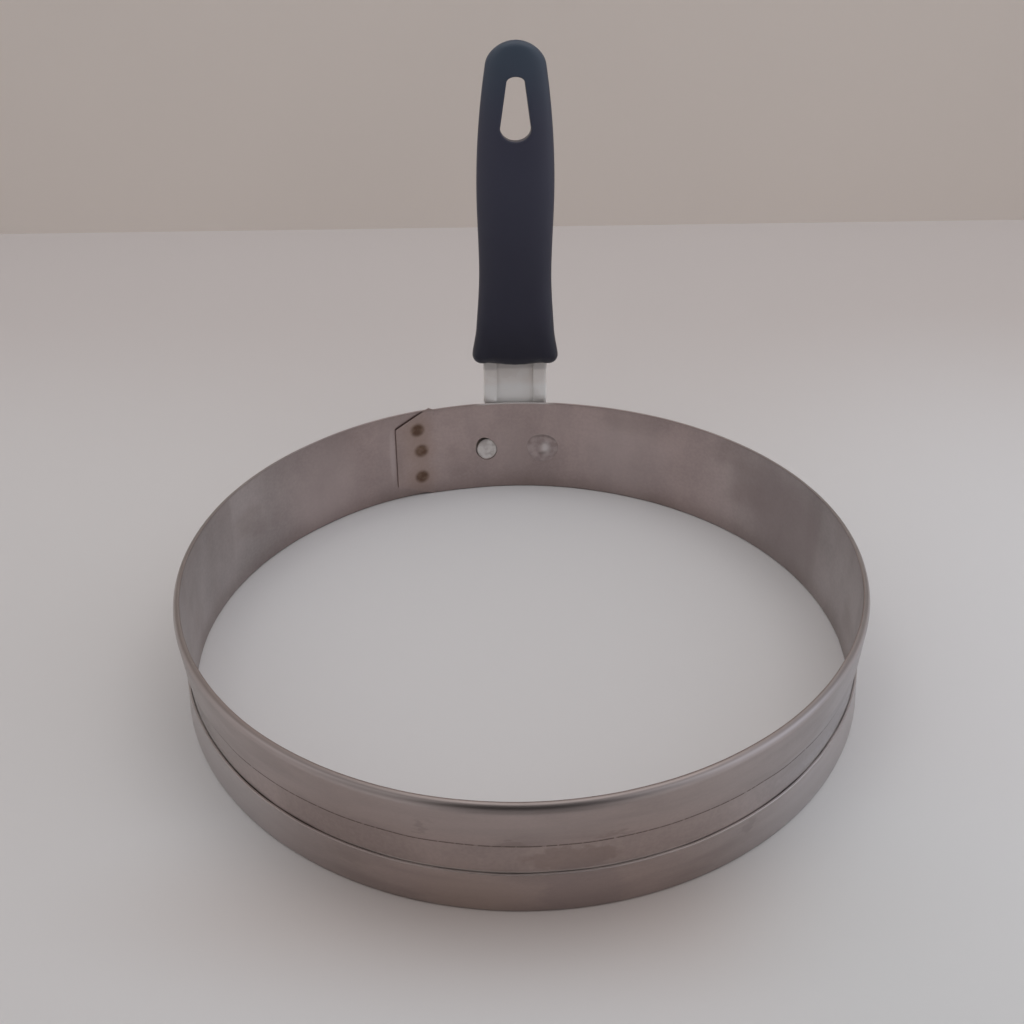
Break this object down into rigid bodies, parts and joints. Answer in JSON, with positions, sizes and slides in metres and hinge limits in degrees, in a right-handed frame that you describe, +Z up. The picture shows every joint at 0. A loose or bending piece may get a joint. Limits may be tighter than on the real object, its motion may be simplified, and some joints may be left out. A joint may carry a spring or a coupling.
{
  "type": "pancake ring",
  "caption": "Round steel ring with folded edges and a lapped, spot-welded joint, and an upright dark plastic handle on a riveted steel tang, for shaping batter on a hot plate.",
  "frame": {"origin": "on the ring's axis, in the plane that the ring's folded foot stands on", "axes": "+Z up along the ring's axis, +Y towards the handle, +X to the right when looking from the front"},
  "size_m": [0.19, 0.2131, 0.1485],
  "materials": {
    "ring_steel": "worn, stained, softly reflecting",
    "galvanised_steel": "dull zinc",
    "rivet_steel": "dull",
    "grip_plastic": "satin"
  },
  "bodies": {
    "root": {"ring_strip": "ring_steel", "handle_tang": "galvanised_steel", "rivet_left": "rivet_steel", "rivet_right": "rivet_steel", "grip": "grip_plastic"}
  },
  "joints": []
}
